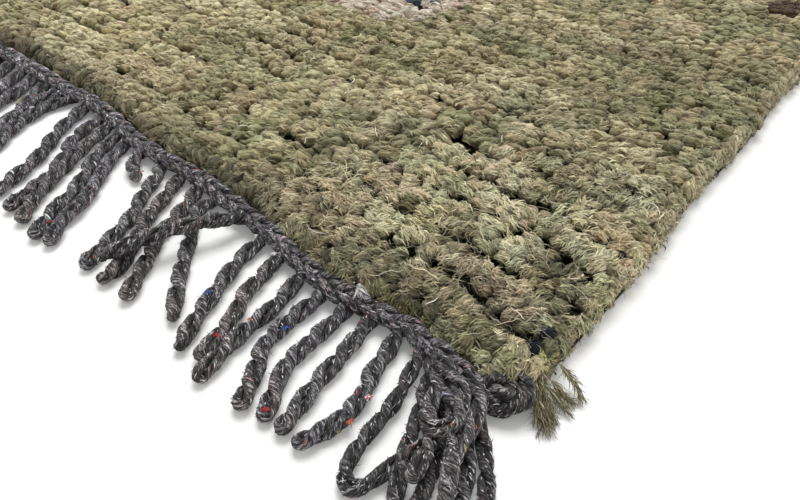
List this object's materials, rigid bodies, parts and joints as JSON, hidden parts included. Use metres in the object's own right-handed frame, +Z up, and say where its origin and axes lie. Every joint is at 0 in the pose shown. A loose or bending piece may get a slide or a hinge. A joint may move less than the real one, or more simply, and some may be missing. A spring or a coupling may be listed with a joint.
{
  "type": "hand-knotted wool rug",
  "caption": "Small hand-knotted wool rug lying flat: lumpy olive pile, a twined charcoal heading along each end, fringes of twisted cords and one gathered corner.",
  "frame": {"origin": "middle of the whole rug's box, at the surface that it lies on", "axes": "+Z up through the pile, +Y along the warp away from the end with the gathered corner, +X across the rug towards that corner's side"},
  "size_m": [0.6164, 0.9992, 0.017],
  "materials": {
    "pile_wool": "thick cut pile of hand-spun wool, olive khaki mixed with taupe",
    "warp_wool": "plied charcoal wool yarn with coloured flecks"
  },
  "bodies": {
    "root": {"field": "pile_wool", "heading_front": "warp_wool", "heading_back": "warp_wool", "fringe_front": "warp_wool", "fringe_back": "warp_wool", "corner_bunch": "warp_wool", "corner_loop": "warp_wool", "yarn_tails": "pile_wool"}
  },
  "joints": []
}
